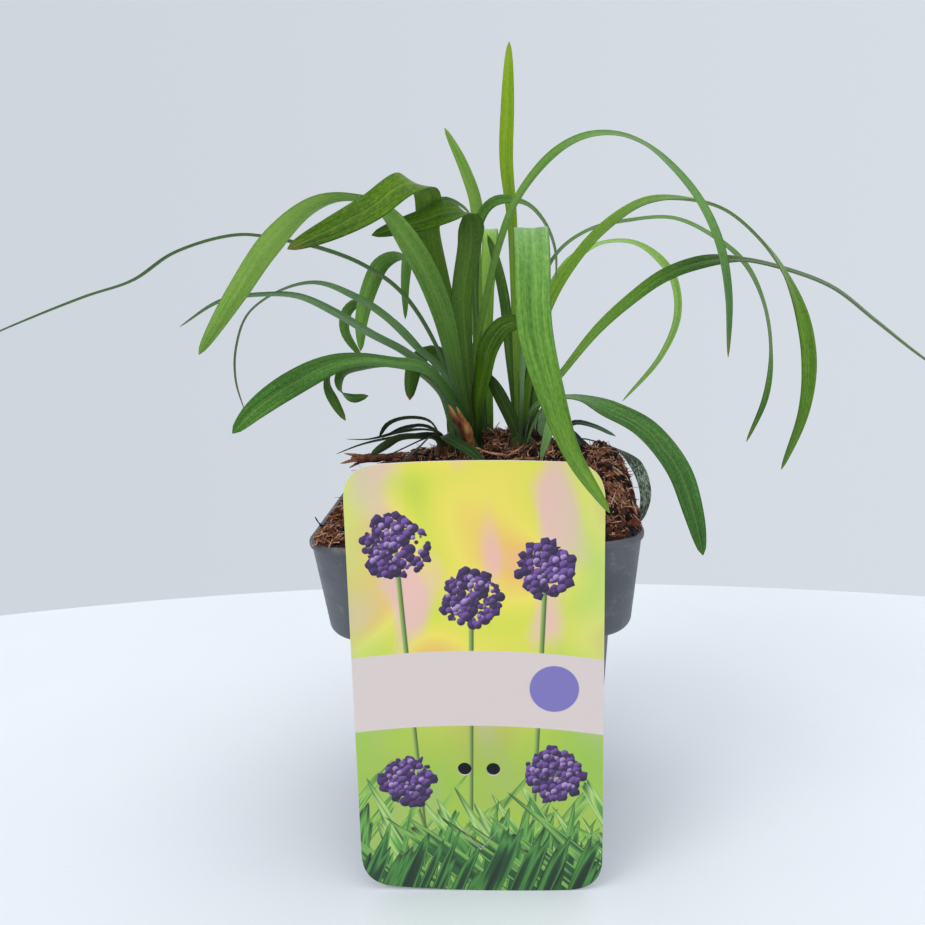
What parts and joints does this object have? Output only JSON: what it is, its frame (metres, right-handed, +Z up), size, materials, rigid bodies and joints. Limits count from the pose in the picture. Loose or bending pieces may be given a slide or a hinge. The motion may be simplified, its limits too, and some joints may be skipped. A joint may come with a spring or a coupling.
{
  "type": "potted liriope",
  "caption": "Small clump of liriope with long arching strap leaves, in a square plastic nursery pot with a bark-topped root ball and a plain picture card leaning on the front.",
  "frame": {"origin": "middle of the pot's flat base, on the surface it stands on", "axes": "+Z up; the pot's front, where the card leans, faces -Y; +X is to the right seen from the front"},
  "size_m": [0.2771, 0.1541, 0.2261],
  "materials": {
    "pot_plastic": "satin",
    "potting_bark": "rough",
    "printed_card": "satin",
    "leaf_green": "satin",
    "leaf_dark": "satin"
  },
  "bodies": {
    "root": {"pot": "pot_plastic", "root_ball": "potting_bark", "label_card": "printed_card", "shoot_front_left": "leaf_green", "shoot_back_left": "leaf_green", "shoot_outer_left": "leaf_green", "shoot_front_right": "leaf_green", "shoot_back_right": "leaf_green", "low_leaves_left": "leaf_dark", "low_leaves_right": "leaf_dark"}
  },
  "joints": []
}
